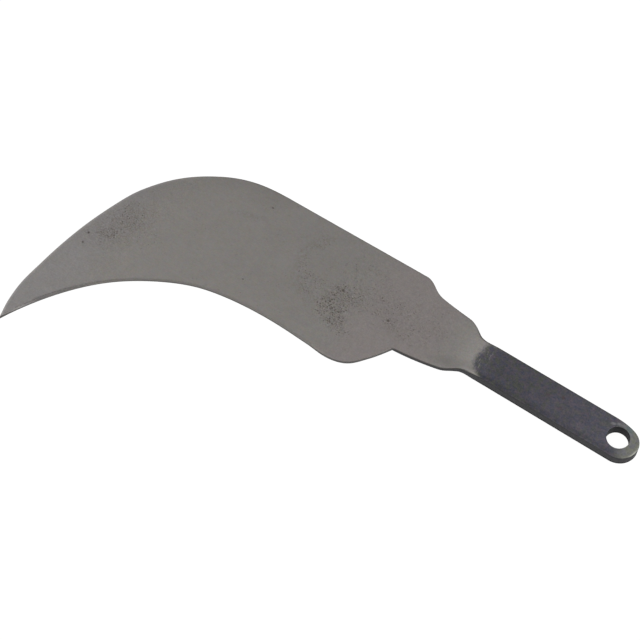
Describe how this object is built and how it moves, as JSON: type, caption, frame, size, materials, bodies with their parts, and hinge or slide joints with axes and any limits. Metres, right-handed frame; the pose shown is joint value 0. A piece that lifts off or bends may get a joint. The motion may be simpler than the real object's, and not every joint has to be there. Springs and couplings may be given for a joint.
{
  "type": "hook knife blade",
  "caption": "Flat crescent hook blade forged in one piece with a thicker, straight, drilled tang for a handle, for pulling cuts through stems and light wood.",
  "frame": {"origin": "centre of the bounding box in X and Y, on the plane of the tang's lower face", "axes": "+X along the tang from the blade towards the hole, +Y towards the blade's spine and away from the cutting edge, +Z square to the flat faces"},
  "size_m": [0.2644, 0.1242, 0.006],
  "materials": {
    "forged_steel": "dull ground grey on the blade and neck, blue-black forge scale on the tang"
  },
  "bodies": {
    "root": {"forged_blade": "forged_steel"}
  },
  "joints": []
}
